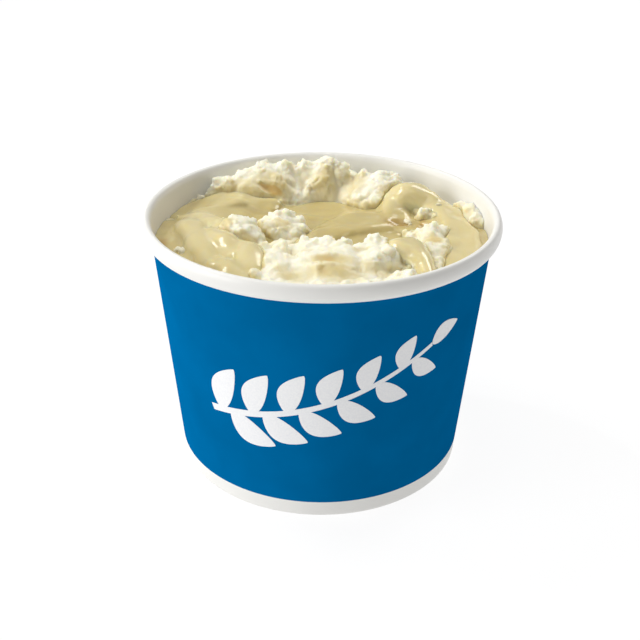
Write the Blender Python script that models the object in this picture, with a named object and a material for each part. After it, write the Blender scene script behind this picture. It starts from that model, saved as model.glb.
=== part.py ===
"""Paper side cup of mashed potato and gravy, as solids: wall with rolled rim, floor, potato, gravy.

The origin is the centre of the cup's foot ring, +Z is up, and the front of the serving faces -Y.
"""

import math

import bmesh
import bpy
import numpy as np
from mathutils import noise

MM = 0.001

# Cup: a 90 mm paper food cup
RIM_DIAMETER = 90 * MM
CUP_HEIGHT = 67 * MM
FOOT_DIAMETER = 74.8 * MM
PAPER = 0.5 * MM
CURL_WIDTH = 2.3 * MM
CURL_HEIGHT = 4.4 * MM
FLOOR_HEIGHT = 7 * MM
SKIRT_PAPER = 0.4 * MM
HEM_HEIGHT = 5 * MM
GAP = 0.3 * MM
ROUND_STEPS = 72
CURL_STEPS = 11

# Food, in millimetres from the cup's axis and above the foot
FILL_LEVEL = 57.6
FILL_RISE_AT_WALL = 1.6
MERGE = 0.55
FOOD_RINGS = 21
LEAST_GRAVY = 0.12

# Mounds of potato: centre x and y, half length, half width, turn in degrees, top, steepness
MOUNDS = {
    "back_left": (-17.5, 29.5, 13.0, 8.0, 21, 67.0, 4.0),
    "back_left_shoulder": (-26.5, 26.5, 5.5, 5.5, 0, 64.0, 3.0),
    "back_middle": (0.2, 31.5, 7.4, 8.0, 0, 69.2, 3.4),
    "back_saddle": (8.2, 32.0, 6.0, 7.5, 0, 64.6, 2.4),
    "back_right": (14.6, 25.6, 7.8, 9.6, -38, 65.6, 3.4),
    "right_dome": (24.2, 19.6, 9.0, 7.2, -10, 63.4, 2.8),
    "right_crumb": (27.5, 11.5, 3.6, 3.2, 30, 61.8, 2.4),
    "right_ridge": (34.2, -2.0, 5.2, 19.0, 4, 60.4, 2.6),
    "right_wall_clump": (38.4, 9.6, 4.2, 7.6, 20, 63.4, 3.0),
    "right_front": (28.4, -11.0, 5.2, 13.0, 6, 62.8, 3.4),
    "island": (-10.6, 4.6, 5.8, 5.4, 0, 63.6, 3.2),
    "left_middle": (-21.2, -4.0, 6.8, 8.6, 40, 63.8, 3.4),
    "left_back_ridge": (-31.0, 7.0, 9.0, 12.5, -14, 60.8, 2.6),
    "left_front_ridge": (-25.4, -15.6, 16.5, 7.0, -60, 61.3, 2.6),
    "tongue": (-2.4, 2.0, 11.5, 3.8, 66, 59.6, 2.4),
    "front_left": (-11.6, -23.0, 9.0, 12.5, 10, 63.0, 4.0),
    "front_middle": (1.0, -20.0, 10.0, 11.0, 0, 64.4, 4.4),
    "front_right": (13.2, -19.4, 6.4, 9.0, 15, 64.8, 3.6),
    "front_crumb": (18.8, -30.2, 5.0, 4.6, 0, 62.8, 2.6),
    "front_edge": (2.0, -33.0, 17.0, 6.5, 0, 61.6, 2.6),
}

# Lumps all over the potato: how high and how long
LUMP_HEIGHT = 0.9
LUMP_LENGTH = 5.5

# Streams of gravy: thickness, rounding of the edge, then points of x, y and half width
STREAMS = {
    "left": (1.7, 2.4, [(-11, 20.5, 3.4), (-20, 17.5, 5.4), (-29, 11, 7.6), (-33.4, 1, 7.4),
                        (-30, -10, 7.4), (-23.8, -19, 7.8), (-20.4, -27.2, 5.2)]),
    "left_gutter": (1.2, 1.6, [(-38.6, 2, 4.4), (-36.4, -10, 4.6), (-30, -20, 4.6), (-23, -29, 4.4)]),
    "left_link": (1.3, 1.8, [(-20, 15, 4.6), (-11, 14.5, 4.4), (-3, 17, 5.0)]),
    "left_valley": (1.1, 1.6, [(-19, 9, 4.4), (-14.6, -2.5, 3.0)]),
    "middle": (1.4, 2.0, [(-4.6, 16, 5.4), (3, 16.5, 7.4), (11, 10.5, 8.4), (10, 2, 7.6),
                          (5, -1.6, 5.2)]),
    "tongue": (1.6, 2.2, [(4, 12, 3.6), (-1.6, 3, 3.6), (-5.6, -6, 2.8)]),
    "middle_link": (1.3, 1.8, [(12, 11, 6.0), (20, 10, 5.0), (25, 7, 3.4)]),
    "dome": (2.1, 2.6, [(17.5, 17.5, 4.4), (24, 19.6, 7.4), (30, 19.6, 5.4)]),
    "right": (1.8, 2.4, [(30, 19, 4.4), (33.2, 9.5, 3.6), (35.8, -3, 5.0), (35, -14, 4.4),
                         (32.6, -22.6, 3.2)]),
    "right_wall": (1.1, 1.4, [(39.6, 0.6, 3.2), (39.0, -9, 3.6), (36.4, -18, 3.6)]),
    "front_drop": (2.4, 2.8, [(17.0, -1.0, 3.0), (18.6, -8, 3.8), (19.8, -14, 4.8),
                              (22.4, -20.4, 4.2), (24.2, -26.4, 3.2)]),
}

COLOURS = {
    "cup_wall": ((0.012, 0.13, 0.36), 0.35),
    "cup_floor": ((0.85, 0.84, 0.81), 0.6),
    "mashed_potato": ((0.83, 0.77, 0.57), 0.6),
    "gravy": ((0.58, 0.47, 0.22), 0.2),
}


def wall_radius(z):
    """Outer radius of the wall's paper at height z: a straight cone from the foot to the curl."""
    foot = FOOT_DIAMETER / 2
    under_curl = RIM_DIAMETER / 2 - CURL_WIDTH + PAPER
    return foot + (under_curl - foot) * z / (CUP_HEIGHT - CURL_HEIGHT / 2)


def clear_scene():
    for obj in list(bpy.data.objects):
        bpy.data.objects.remove(obj)


def add_object(name, mesh):
    """Links the mesh as a named node, smooth shaded and with its own material."""
    colour, roughness = COLOURS[name]
    material = bpy.data.materials.new(name)
    material.use_nodes = True
    shader = material.node_tree.nodes["Principled BSDF"]
    shader.inputs["Base Color"].default_value = (*colour, 1)
    shader.inputs["Roughness"].default_value = roughness
    mesh.materials.append(material)
    mesh.shade_smooth()
    mesh.set_sharp_from_angle(angle=math.radians(40))
    obj = bpy.data.objects.new(name, mesh)
    bpy.context.scene.collection.objects.link(obj)
    return obj


def turned(name, profile):
    """Turns a closed profile of (radius, height) points about the cup's axis."""
    bm = bmesh.new()
    verts = [bm.verts.new((radius, 0, height)) for radius, height in profile]
    edges = [bm.edges.new(pair) for pair in zip(verts, verts[1:] + verts[:1])]
    bmesh.ops.spin(
        bm, geom=verts + edges, axis=(0, 0, 1), cent=(0, 0, 0),
        angle=2 * math.pi, steps=ROUND_STEPS, use_merge=True,
    )
    bmesh.ops.remove_doubles(bm, verts=bm.verts, dist=0.01 * MM)
    bmesh.ops.recalc_face_normals(bm, faces=bm.faces)
    mesh = bpy.data.meshes.new(name)
    bm.to_mesh(mesh)
    bm.free()
    return add_object(name, mesh)


def curl_points():
    """The rolled rim's oval, from where it leaves the wall, round the outside, to the inner wall."""
    half_width = CURL_WIDTH / 2
    half_height = CURL_HEIGHT / 2
    start = -(math.pi - math.acos((half_width - PAPER) / half_width))
    centre = RIM_DIAMETER / 2 - half_width, CUP_HEIGHT - half_height
    angles = np.linspace(start, math.pi, CURL_STEPS)
    return [(centre[0] + half_width * math.cos(a), centre[1] + half_height * math.sin(a))
            for a in angles]


def make_wall():
    """Cone of paper with the rolled rim, its lower edge folded in and up as a hem."""
    slot = SKIRT_PAPER + 2 * GAP
    leg_top = wall_radius(HEM_HEIGHT) - PAPER - slot
    leg_foot = wall_radius(PAPER) - PAPER - slot
    turned("cup_wall", [
        (wall_radius(0), 0),
        *curl_points(),
        (wall_radius(PAPER) - PAPER, PAPER),
        (leg_foot, PAPER),
        (leg_top, HEM_HEIGHT),
        (leg_top - PAPER, HEM_HEIGHT),
        (leg_foot - PAPER, 0),
    ])


def make_floor():
    """Round floor set up inside the wall, with a skirt turned down into the hem."""
    outer = wall_radius(FLOOR_HEIGHT) - PAPER - GAP
    underside = FLOOR_HEIGHT - PAPER
    skirt_foot = PAPER + GAP
    outer_foot = wall_radius(skirt_foot) - PAPER - GAP
    turned("cup_floor", [
        (0, FLOOR_HEIGHT),
        (outer, FLOOR_HEIGHT),
        (outer_foot, skirt_foot),
        (outer_foot - SKIRT_PAPER, skirt_foot),
        (wall_radius(underside) - PAPER - GAP - SKIRT_PAPER, underside),
        (0, underside),
    ])


def mound_height(x, y, mound):
    """Height over the fill level of one mound: flat-topped for a high steepness, round for 2."""
    centre_x, centre_y, length, width, turn, top, steepness = mound
    c, s = math.cos(math.radians(turn)), math.sin(math.radians(turn))
    along = (c * (x - centre_x) + s * (y - centre_y)) / length
    across = (-s * (x - centre_x) + c * (y - centre_y)) / width
    reach = np.hypot(along, across)
    return (top - FILL_LEVEL) * (1 - reach**steepness)


def potato_height(x, y, food_radius):
    """Top of the potato: a fill level and all mounds, joined by a soft maximum, with lumps."""
    level = FILL_RISE_AT_WALL * (np.hypot(x, y) / food_radius) ** 4
    heights = [level] + [mound_height(x, y, mound) for mound in MOUNDS.values()]
    parts = [np.exp(np.clip(h, -20, None) / MERGE) for h in heights]
    lumps = [noise.noise((a / LUMP_LENGTH, b / LUMP_LENGTH, 0)) for a, b in zip(x, y)]
    return FILL_LEVEL + MERGE * np.log(sum(parts)) + LUMP_HEIGHT * np.array(lumps)


def stream_depth(x, y, stream):
    """Thickness of one stream: full inside, rounded to nothing at its edge, negative outside."""
    thickness, rounding, points = stream
    inside = np.full(x.shape, -1e9)
    for (x0, y0, w0), (x1, y1, w1) in zip(points, points[1:]):
        dx, dy = x1 - x0, y1 - y0
        t = np.clip(((x - x0) * dx + (y - y0) * dy) / (dx * dx + dy * dy), 0, 1)
        distance = np.hypot(x - x0 - t * dx, y - y0 - t * dy)
        inside = np.maximum(inside, w0 + t * (w1 - w0) - distance)
    u = np.clip(inside / rounding, 0, 1)
    return np.where(inside > 0, thickness * np.sqrt(1 - (1 - u) ** 2), inside)


def gravy_depth(x, y):
    return np.max([stream_depth(x, y, stream) for stream in STREAMS.values()], axis=0)


def food_grid():
    """Round grid of the food's top, ring k with 6k points: x and y in millimetres, triangles."""
    food_radius = (wall_radius(FILL_LEVEL * MM) - PAPER - GAP) / MM
    rings = [food_radius * k / FOOD_RINGS * np.ones(6 * k) for k in range(1, FOOD_RINGS + 1)]
    turns = [2 * np.pi * np.arange(6 * k) / (6 * k) for k in range(1, FOOD_RINGS + 1)]
    radius = np.concatenate([[0], *rings])
    angle = np.concatenate([[0], *turns])
    triangles = []
    for k in range(1, FOOD_RINGS + 1):
        for sector in range(6):
            for j in range(k):
                inner = grid_point(k - 1, sector * (k - 1) + j)
                outer = grid_point(k, sector * k + j)
                outer_next = grid_point(k, sector * k + j + 1)
                triangles.append((inner, outer, outer_next))
                if j < k - 1:
                    inner_next = grid_point(k - 1, sector * (k - 1) + j + 1)
                    triangles.append((inner, outer_next, inner_next))
    return radius * np.cos(angle), radius * np.sin(angle), triangles, food_radius


def grid_point(ring, place):
    """Index of a point of the round grid, its place counted round and round the ring."""
    return 0 if ring == 0 else 1 + 3 * ring * (ring - 1) + place % (6 * ring)


def make_potato(x, y, top, triangles):
    """Fills the cup from its floor to the uneven top."""
    around = 6 * FOOD_RINGS
    upper = len(x) - around
    low = FLOOR_HEIGHT + GAP
    shrink = (wall_radius(low) - PAPER - GAP) / (math.hypot(x[-1], y[-1]) * MM)
    points = [(x[i] * MM, y[i] * MM, top[i] * MM) for i in range(len(x))]
    points += [(x[i] * MM * shrink, y[i] * MM * shrink, low) for i in range(upper, len(x))]
    points.append((0, 0, low))
    faces = list(triangles)
    for k in range(around):
        after = (k + 1) % around
        faces.append((upper + after, upper + k, len(x) + k, len(x) + after))
        faces.append((len(x) + after, len(x) + k, len(points) - 1))
    mesh = bpy.data.meshes.new("mashed_potato")
    mesh.from_pydata(points, [], faces)
    return add_object("mashed_potato", mesh)


def cut_at_edge(triangles, depth):
    """Keeps the parts of the triangles where depth is positive.

    Returns triangles of corners, each a grid point (i,) or a place (i, j) on the edge from i to j.
    """
    kept = []
    for triangle in triangles:
        outline = []
        for a, b in zip(triangle, triangle[1:] + triangle[:1]):
            if depth[a] > 0:
                outline.append((a,))
            if (depth[a] > 0) != (depth[b] > 0):
                outline.append((min(a, b), max(a, b)))
        for k in range(1, len(outline) - 1):
            kept.append((outline[0], outline[k], outline[k + 1]))
    return kept


def largest_piece(triangles):
    """The triangles of the piece that has the most of them."""
    owner = {}

    def root(corner):
        while owner.setdefault(corner, corner) != corner:
            corner = owner[corner]
        return corner

    for a, b, c in triangles:
        owner[root(a)] = root(b)
        owner[root(b)] = root(c)
    groups = {}
    for triangle in triangles:
        groups.setdefault(root(triangle[0]), []).append(triangle)
    return max(groups.values(), key=len)


def make_gravy(x, y, top, triangles):
    """Lens of gravy on the potato's own facets, closed where it thins out to nothing."""
    depth = gravy_depth(x, y) - LEAST_GRAVY
    kept = largest_piece(cut_at_edge(triangles, depth))
    points, low, high = [], {}, {}
    for corner in sorted({corner for triangle in kept for corner in triangle}):
        if len(corner) == 1:
            i = corner[0]
            low[corner] = len(points)
            high[corner] = len(points) + 1
            points.append((x[i], y[i], top[i] + GAP / MM))
            points.append((x[i], y[i], top[i] + GAP / MM + depth[i]))
        else:
            i, j = corner
            t = min(max(depth[i] / (depth[i] - depth[j]), 0.12), 0.88)
            low[corner] = high[corner] = len(points)
            points.append([(1 - t) * v[i] + t * v[j] + lift
                           for v, lift in ((x, 0), (y, 0), (top, GAP / MM))])
    edges = set()
    faces = []
    for triangle in kept:
        faces.append([high[c] for c in triangle])
        faces.append([low[c] for c in reversed(triangle)])
        edges.update(zip(triangle, triangle[1:] + triangle[:1]))
    for a, b in sorted(edges):
        if (b, a) not in edges:
            side = [high[b], high[a], low[a], low[b]]
            side = [p for k, p in enumerate(side) if p != side[k - 1]]
            if len(side) > 2:
                faces.append(side)
    mesh = bpy.data.meshes.new("gravy")
    mesh.from_pydata([[value * MM for value in point] for point in points], [], faces)
    return add_object("gravy", mesh)


def main():
    clear_scene()
    make_wall()
    make_floor()
    x, y, triangles, food_radius = food_grid()
    top = potato_height(x, y, food_radius)
    make_potato(x, y, top, triangles)
    make_gravy(x, y, top, triangles)


main()
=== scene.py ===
import math
from itertools import product

import bmesh
import bpy
import numpy as np
from mathutils import Matrix, Vector


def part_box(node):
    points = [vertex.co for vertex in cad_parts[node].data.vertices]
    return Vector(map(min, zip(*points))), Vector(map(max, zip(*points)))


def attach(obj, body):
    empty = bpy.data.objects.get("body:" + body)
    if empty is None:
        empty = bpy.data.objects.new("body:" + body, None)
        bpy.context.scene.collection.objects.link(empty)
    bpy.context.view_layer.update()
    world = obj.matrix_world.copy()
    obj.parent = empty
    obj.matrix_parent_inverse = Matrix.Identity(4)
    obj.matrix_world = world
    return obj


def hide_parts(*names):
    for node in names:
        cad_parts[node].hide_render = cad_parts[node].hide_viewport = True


mm = 0.001                     # shapes are worked out in millimetres, and Blender's unit is the metre
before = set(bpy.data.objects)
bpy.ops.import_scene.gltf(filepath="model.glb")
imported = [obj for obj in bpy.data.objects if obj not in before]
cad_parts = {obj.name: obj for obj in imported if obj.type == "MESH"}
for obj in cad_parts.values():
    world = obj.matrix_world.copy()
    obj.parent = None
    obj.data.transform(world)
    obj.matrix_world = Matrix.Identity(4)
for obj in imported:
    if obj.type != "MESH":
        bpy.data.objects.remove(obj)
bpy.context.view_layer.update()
wallBox = [np.array(corner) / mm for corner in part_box("cup_wall")]
print("frame loaded")


def cellNumber(cells, seed):
    # a whole-number cell -> a fixed number from 0 to 1: the three counts times large odd numbers,
    # added and stirred by shifts
    c = cells.astype(np.int64).astype(np.uint32)
    n = (c[..., 0] * np.uint32(374761393) + c[..., 1] * np.uint32(668265263)
         + c[..., 2] * np.uint32(2246822519) + np.uint32(seed * 40503 + 7))
    n = (n ^ (n >> np.uint32(15))) * np.uint32(2246822519)
    n = (n ^ (n >> np.uint32(13))) * np.uint32(3266489917)
    return ((n ^ (n >> np.uint32(16))) & np.uint32(0xFFFFFF)) / float(0xFFFFFF)


def softNoise(points, size, seed):
    # random numbers from -1 to 1 at the corners of cubes of that size, blended inside each cube
    # by the curve 6t^5 - 15t^4 + 10t^3
    q = points / size
    cell = np.floor(q)
    f = q - cell
    f = f * f * f * (f * (f * 6 - 15) + 10)
    total = np.zeros(len(points))
    for corner in product((0, 1), repeat=3):
        weight = np.prod(np.where(np.array(corner) == 1, f, 1 - f), axis=1)
        total += weight * cellNumber(cell + corner, seed)
    return 2 * total - 1


def roughNoise(points, size, seed, layers=3):
    # soft noise plus half as much at half the size, and so on
    return sum(softNoise(points, size / 2**k, seed + k) / 2**k for k in range(layers))


def grainBumps(points, size, seed):
    # round bumps side by side: 1 over a scattered centre, less by the square of the distance to it,
    # with creases half way between centres; the second value is the centre's own number
    q = points / size
    cell = np.floor(q)
    nearest = np.full(len(points), 9.0)
    own = np.zeros(len(points))
    for step in product((-1, 0, 1), repeat=3):
        other = cell + step
        centre = other + 0.1 + 0.8 * np.stack([cellNumber(other, seed + k) for k in range(3)], 1)
        distance = np.sum((q - centre) ** 2, axis=1)
        closer = distance < nearest
        nearest = np.where(closer, distance, nearest)
        own = np.where(closer, cellNumber(other, seed + 3), own)
    return 1 - nearest, own


def smoothStep(low, high, value):
    # 0 up to low, 1 from high on, and 3t^2 - 2t^3 between them
    t = np.clip((value - low) / (high - low), 0, 1)
    return t * t * (3 - 2 * t)


def softMax(a, b, width):
    # the larger of two, with the corner between them rounded over that width
    h = np.clip(0.5 + 0.5 * (a - b) / width, 0, 1)
    return b + (a - b) * h + width * h * (1 - h)


def makePiece(name, points, triangles, materials, nodeName=None, faceMaterial=None,
              attributes=None, sharpAngle=None):
    # points in millimetres, triangles or quads as rows of point numbers
    mesh = bpy.data.meshes.new(name)
    corners = triangles.shape[1]
    mesh.vertices.add(len(points))
    mesh.vertices.foreach_set("co", (points * mm).astype(np.float32).ravel())
    mesh.loops.add(triangles.size)
    mesh.loops.foreach_set("vertex_index", triangles.astype(np.int32).ravel())
    mesh.polygons.add(len(triangles))
    mesh.polygons.foreach_set("loop_start", np.arange(len(triangles), dtype=np.int32) * corners)
    mesh.update(calc_edges=True)
    mesh.validate()
    for material in materials:
        mesh.materials.append(material)
    if faceMaterial is not None:
        mesh.polygons.foreach_set("material_index", faceMaterial.astype(np.int32))
    for key, values in (attributes or {}).items():
        layer = mesh.attributes.new(key, "FLOAT", "POINT")
        layer.data.foreach_set("value", values.astype(np.float32))
    mesh.shade_smooth()
    if sharpAngle:
        mesh.set_sharp_from_angle(angle=math.radians(sharpAngle))
    piece = bpy.data.objects.new(name, mesh)
    bpy.context.scene.collection.objects.link(piece)
    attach(piece, "root")
    if nodeName:
        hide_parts(nodeName)
    print(name, len(points), "points", len(triangles), "faces")
    return piece


def discGrid(radius, spacing):
    # ring k holds 6k points at radius k times the spacing, and each triangle joins two rings
    rings = int(round(radius / spacing))
    counts = np.maximum(6 * np.arange(rings + 1), 1)
    ring = np.repeat(np.arange(rings + 1), counts)
    place = np.arange(len(ring)) - np.repeat(np.cumsum(counts) - counts, counts)
    turn = 2 * np.pi * place / counts[ring]
    xy = radius * (ring / rings)[:, None] * np.stack([np.cos(turn), np.sin(turn)], 1)

    def pointAt(k, p):
        return np.where(k == 0, 0, 1 + 3 * k * (k - 1) + p % np.maximum(6 * k, 1))

    k = np.repeat(np.arange(1, rings + 1), 6 * np.arange(1, rings + 1))
    step = np.arange(len(k)) - 3 * k * (k - 1)
    sector, j = step // k, step % k
    inner = pointAt(k - 1, sector * (k - 1) + j)
    outer = pointAt(k, sector * k + j)
    outerNext = pointAt(k, sector * k + j + 1)
    innerNext = pointAt(k - 1, sector * (k - 1) + j + 1)
    between = j < k - 1
    triangles = np.concatenate([
        np.stack([inner, outer, outerNext], 1),
        np.stack([inner, outerNext, innerNext], 1)[between],
    ])
    return xy, triangles


def refine(xy, triangles, heightOf, longest, passes):
    # an edge that is too long in space gets a point half way, and a triangle is cut into 2, 3 or 4
    # at its new points
    for _ in range(passes):
        p = np.column_stack([xy, heightOf(xy)])
        pairs = np.stack([triangles, np.roll(triangles, -1, axis=1)], 2)
        key = pairs.min(2).astype(np.int64) * len(xy) + pairs.max(2)
        unique, inverse = np.unique(key.ravel(), return_inverse=True)
        a, b = unique // len(xy), unique % len(xy)
        tooLong = np.linalg.norm(p[a] - p[b], axis=1) > longest
        if not tooLong.any():
            break
        middle = np.full(len(unique), -1)
        middle[tooLong] = len(xy) + np.arange(tooLong.sum())
        xy = np.concatenate([xy, (xy[a[tooLong]] + xy[b[tooLong]]) / 2])
        m = middle[inverse.reshape(-1)].reshape(-1, 3)
        count = (m >= 0).sum(1)
        turned = np.where(count == 1, np.argmax(m >= 0, 1), (np.argmin(m >= 0, 1) + 1) % 3)
        turned = np.where((count == 1) | (count == 2), turned, 0)
        order = (turned[:, None] + np.arange(3)) % 3
        t = np.take_along_axis(triangles, order, 1)
        m = np.take_along_axis(m, order, 1)
        one, two, three = count == 1, count == 2, count == 3

        def cut(which, *corners):
            return np.stack([c[which] for c in corners], 1)

        a, b, c = t.T
        ab, bc, ca = m.T
        triangles = np.concatenate([
            t[count == 0],
            cut(one, a, ab, c), cut(one, ab, b, c),
            cut(two, ab, b, bc), cut(two, a, ab, bc), cut(two, a, bc, c),
            cut(three, a, ab, ca), cut(three, ab, b, bc), cut(three, ca, bc, c),
            cut(three, ab, bc, ca),
        ])
    return xy, triangles


def openEdges(triangles):
    # directed edges that only one triangle uses
    pairs = np.stack([triangles, np.roll(triangles, -1, axis=1)], 2).reshape(-1, 2)
    size = triangles.max() + 1
    key = pairs[:, 0].astype(np.int64) * size + pairs[:, 1]
    back = pairs[:, 1].astype(np.int64) * size + pairs[:, 0]
    return pairs[~np.isin(key, back)]


def evened(z, triangles, rounds, fixed=None):
    # each height moved half way to the mean of its neighbours', that many times
    a = np.concatenate([triangles[:, 0], triangles[:, 1], triangles[:, 2]])
    b = np.concatenate([triangles[:, 1], triangles[:, 2], triangles[:, 0]])
    near = np.bincount(a, minlength=len(z)) + np.bincount(b, minlength=len(z))
    for _ in range(rounds):
        total = np.bincount(a, z[b], len(z)) + np.bincount(b, z[a], len(z))
        moved = 0.5 * z + 0.5 * total / np.maximum(near, 1)
        z = moved if fixed is None else np.where(fixed, z, moved)
    return z


def pointNormals(points, triangles):
    # at each point, the sum of the normals of the triangles around it, brought to length 1
    a, b, c = (points[triangles[:, k]] for k in range(3))
    face = np.cross(b - a, c - a)
    normal = np.zeros_like(points)
    for k in range(3):
        for axis in range(3):
            normal[:, axis] += np.bincount(triangles[:, k], face[:, axis], len(points))
    return normal / np.maximum(np.linalg.norm(normal, axis=1), 1e-12)[:, None]


def linear(r, g, b):
    # screen colour from 0 to 255 -> light from 0 to 1
    c = np.array([r, g, b]) / 255
    return (*np.where(c <= 0.04045, c / 12.92, ((c + 0.055) / 1.055) ** 2.4), 1.0)


class Finish:
    # a material whose nodes are added one at a time
    def __init__(self, name):
        self.material = bpy.data.materials.new(name)
        self.material.use_nodes = True
        self.tree = self.material.node_tree
        self.shader = self.tree.nodes["Principled BSDF"]
        self.place = self.add("ShaderNodeTexCoord").outputs["Object"]

    def add(self, kind, **values):
        node = self.tree.nodes.new(kind)
        for key, value in values.items():
            if key in node.inputs:
                self.put(node.inputs[key], value)
            else:
                setattr(node, key, value)
        return node

    def put(self, socket, value):
        if isinstance(value, bpy.types.NodeSocket):
            self.tree.links.new(value, socket)
        else:
            socket.default_value = value

    def noise(self, scale, detail=4.0, rough=0.5):
        return self.add("ShaderNodeTexNoise", Vector=self.place, Scale=scale, Detail=detail,
                        Roughness=rough).outputs["Fac"]

    def range(self, value, low, high, toLow, toHigh):
        # low..high stretched to toLow..toHigh, and held at its ends
        node = self.add("ShaderNodeMapRange", Value=value)
        names = ("From Min", "From Max", "To Min", "To Max")
        for key, number in zip(names, (low, high, toLow, toHigh)):
            node.inputs[key].default_value = number
        return node.outputs["Result"]

    def mix(self, share, a, b):
        node = self.add("ShaderNodeMix", data_type="RGBA")
        self.put(node.inputs[0], share)
        self.put(node.inputs[6], a)
        self.put(node.inputs[7], b)
        return node.outputs[2]

    def field(self, name):
        return self.add("ShaderNodeAttribute", attribute_name=name).outputs["Fac"]

    def bump(self, height, distance, strength):
        node = self.add("ShaderNodeBump", Height=height, Strength=strength, Distance=distance)
        return node.outputs["Normal"]

    def set(self, **values):
        for key, value in values.items():
            self.put(self.shader.inputs[key.replace("_", " ")], value)


cup = {
    "footRadius": 37.4,        # outside, on the table
    "paper": 0.5,              # wall thickness
    "curlWidth": 2.5,          # rolled rim, across
    "curlHeight": 4.4,         # rolled rim, top to bottom
    "whiteFoot": 4.3,          # unprinted band above the table
    "floorHeight": 7.0,
    "floorGap": 0.25,          # between the floor's skirt and the wall
    "skirt": 0.4,              # thickness of the skirt
    "hemHeight": 5.0,          # paper folded up inside the foot
    "hemGap": 1.0,             # between the wall and the hem, where the skirt goes
    "seamAngle": 90.0,         # degrees, at the back
    "seamWidth": 11.0,         # degrees of overlap
    "seamStep": 0.22,          # how far the overlap stands out
    "sharpAngle": 50,          # degrees from which an edge of the paper stays sharp
    "blue": (0, 101, 158),
    "white": (236, 235, 231),
}
rimRadius, cupHeight = wallBox[1][0], wallBox[1][2]
underRim = rimRadius - cup["curlWidth"] + cup["paper"]         # the wall's radius inside the curl
wallSlope = (underRim - cup["footRadius"]) / (cupHeight - cup["curlHeight"] / 2)


def outerWall(z):
    # the paper's outside is a straight cone: foot radius plus slope times height
    return cup["footRadius"] + wallSlope * z


def innerWall(z):
    # its inside is the paper's thickness less
    return outerWall(z) - cup["paper"]


def keptInside(points, gap):
    # points nearer the wall's inside than that gap, or past it, drawn in towards the axis
    radius = np.hypot(points[:, 0], points[:, 1])
    limit = innerWall(points[:, 2]) - gap
    share = np.minimum(1, limit / np.maximum(radius, 1e-6))
    return points * np.column_stack([share, share, np.ones(len(share))])


def seamEdges():
    half = cup["seamWidth"] / 2
    return cup["seamAngle"] - half, cup["seamAngle"] + half


def turnProfile(profile, angles, seam):
    # radius and height of each profile point carried round the axis; the seam's overlap adds to the
    # radius between its two edges, by each point's share
    r, z, share = profile.T
    radius = r[:, None] + share[:, None] * seam[None, :]
    points = np.stack([radius * np.cos(angles), radius * np.sin(angles),
                       np.broadcast_to(z[:, None], radius.shape)], 2)
    rows, columns = len(profile), len(angles)
    i, j = np.meshgrid(np.arange(rows), np.arange(columns), indexing="ij")
    after = (j + 1) % columns
    below = (i + 1) % rows
    quads = np.stack([i * columns + j, i * columns + after,
                      below * columns + after, below * columns + j], 2)
    return points.reshape(-1, 3), quads.reshape(-1, 4), i.reshape(-1)


def cupAngles():
    # even steps, and a fine step on each side of both edges of the seam
    even = np.arange(0, 360, 1.5)
    edges = np.array(seamEdges())
    fine = np.concatenate([edges + d for d in (-0.35, -0.12, 0.12, 0.35)])
    even = even[np.min(np.abs(even[:, None] - edges), axis=1) > 0.7]
    return np.sort(np.concatenate([even, fine]))


def makeCupWall():
    # cone of paper: up the outside, round the curl's oval, down the inside, and back up in the hem
    print("rolling the cup")
    degrees = cupAngles()
    start, end = seamEdges()
    rise = smoothStep(start - 0.12, start + 0.12, degrees)
    seam = cup["seamStep"] * rise * (1 - smoothStep(end - 6, end + 4, degrees))
    a, b = cup["curlWidth"] / 2, cup["curlHeight"] / 2
    centre = rimRadius - a, cupHeight - b
    paper, leg, hem = cup["paper"], cup["hemGap"], cup["hemHeight"]

    foot = [(outerWall(0) - 0.18, 0.0, 0.3), (outerWall(0) - 0.05, 0.07, 0.8)]
    white = [(outerWall(z), z, 1.0) for z in (0.22, *np.linspace(0.9, cup["whiteFoot"], 5)[:-1])]
    printed = [(outerWall(z), z, 1.0)
               for z in (cup["whiteFoot"], *np.linspace(8, cupHeight - 2 * b, 24))]
    turns = np.linspace(-math.pi + math.acos((a - paper) / a), math.pi, 40)
    curl = [(centre[0] + a * math.cos(t), centre[1] + b * math.sin(t), 0.7 if t < -0.2 else 0.35)
            for t in turns]
    inside = [(innerWall(z), z, 0.0) for z in np.linspace(cupHeight - b - 1.2, 1.1, 30)]
    fold = [(innerWall(0.6) - 0.15, 0.62, 0), (innerWall(0.5) - leg + 0.15, 0.62, 0),
            (innerWall(1.1) - leg, 1.1, 0), (innerWall(hem) - leg, hem, 0),
            (innerWall(hem) - leg - paper, hem, 0), (innerWall(0.4) - leg - paper, 0.4, 0),
            (innerWall(0) - leg - paper + 0.25, 0.0, 0)]
    profile = np.array(foot + white + printed + curl + inside + fold)
    points, quads, row = turnProfile(profile, np.radians(degrees), seam)
    firstBlue = len(foot) + len(white)
    blue = (row >= firstBlue) & (row < firstBlue + len(printed))
    makePiece("cupWall", points, quads, [whitePaper(), bluePrint()], "cup_wall",
              faceMaterial=blue, sharpAngle=cup["sharpAngle"])


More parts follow.
